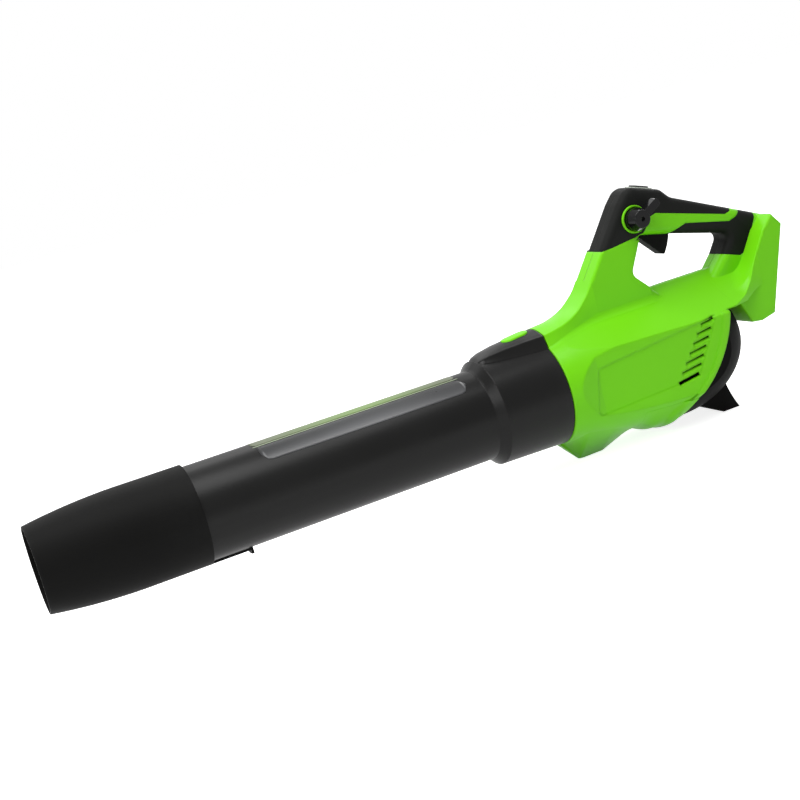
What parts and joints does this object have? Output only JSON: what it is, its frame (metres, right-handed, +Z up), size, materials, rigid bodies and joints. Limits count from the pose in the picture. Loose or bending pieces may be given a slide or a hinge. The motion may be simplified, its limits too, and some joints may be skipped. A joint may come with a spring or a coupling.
{
  "type": "leaf blower",
  "caption": "Cordless axial leaf blower with a long tapered air tube, loop handle, trigger, cruise lever and open battery bay.",
  "frame": {"origin": "centre of the nozzle mouth, on the axis of the air tube", "axes": "+X along the tube axis from the mouth to the rear, +Z up, -Y to the user's left"},
  "size_m": [0.8735, 0.1296, 0.2724],
  "materials": {
    "green_plastic": "satin moulded",
    "black_plastic": "satin moulded",
    "inner_plastic": "satin moulded",
    "gloss_black": "glossy",
    "pale_plastic": "satin",
    "grip_rubber": "soft touch",
    "steel": "plain",
    "aluminium": "cast",
    "copper": "enamelled wire",
    "board": "coated board"
  },
  "bodies": {
    "body": {"housing_left": "green_plastic", "housing_right": "green_plastic", "grip_left": "grip_rubber", "grip_right": "grip_rubber", "rear_grip_left": "grip_rubber", "rear_grip_right": "grip_rubber", "housing_screws": "steel", "intake_guard": "black_plastic", "blow_tube": "black_plastic", "release_spring": "steel", "guide_vane_duct": "inner_plastic", "tail_cone": "inner_plastic", "motor_front_cap": "aluminium", "motor_rear_cap": "aluminium", "front_bearing": "steel", "rear_bearing": "steel", "stator_core": "steel", "stator_windings": "copper", "control_board": "board", "capacitors": "aluminium", "heat_sink": "aluminium", "trigger_pin": "steel", "trigger_spring": "steel", "trigger_switch": "inner_plastic", "lever_ring": "green_plastic", "speed_sensor": "inner_plastic", "button_bezel": "pale_plastic", "turbo_spring": "steel", "turbo_switch": "inner_plastic", "terminal_block": "inner_plastic", "terminal_blades": "copper"},
    "fan_rotor": {"axial_fan": "inner_plastic", "fan_nut": "steel", "motor_shaft": "steel", "rotor": "steel"},
    "trigger": {"trigger": "black_plastic"},
    "cruise_lever": {"cruise_lever": "gloss_black"},
    "turbo_button": {"turbo_button": "gloss_black"},
    "release_button": {"tube_release_button": "green_plastic"},
    "nozzle": {"nozzle": "black_plastic"}
  },
  "joints": [
    {"name": "fan_spin", "type": "hinge", "parent": "body", "child": "fan_rotor", "pos_m": [0.69, 0, 0], "axis": [1, 0, 0], "continuous": true},
    {"name": "trigger_squeeze", "type": "hinge", "parent": "body", "child": "trigger", "pos_m": [0.716, 0, 0.141], "axis": [0, -1, 0], "range_deg": [0, 14], "stiffness_Nm_per_rad": 0.5, "springref_deg": -8.59, "deforming": ["trigger_spring"]},
    {"name": "cruise_lever_turn", "type": "hinge", "parent": "body", "child": "cruise_lever", "pos_m": [0.703, -0.02, 0.154], "axis": [0, -1, 0], "range_deg": [0, 75]},
    {"name": "turbo_press", "type": "slide", "parent": "body", "child": "turbo_button", "axis": [-0.3043, 0, -0.9526], "range_m": [0, 0.0025], "stiffness_N_per_m": 400, "springref_m": -0.001, "deforming": ["turbo_spring"]},
    {"name": "release_press", "type": "slide", "parent": "body", "child": "release_button", "axis": [0, 0, -1], "range_m": [0, 0.0045], "stiffness_N_per_m": 400, "springref_m": -0.001, "deforming": ["release_spring"]},
    {"name": "nozzle_pull", "type": "slide", "parent": "body", "child": "nozzle", "axis": [-1, 0, 0], "range_m": [0, 0.1]}
  ]
}
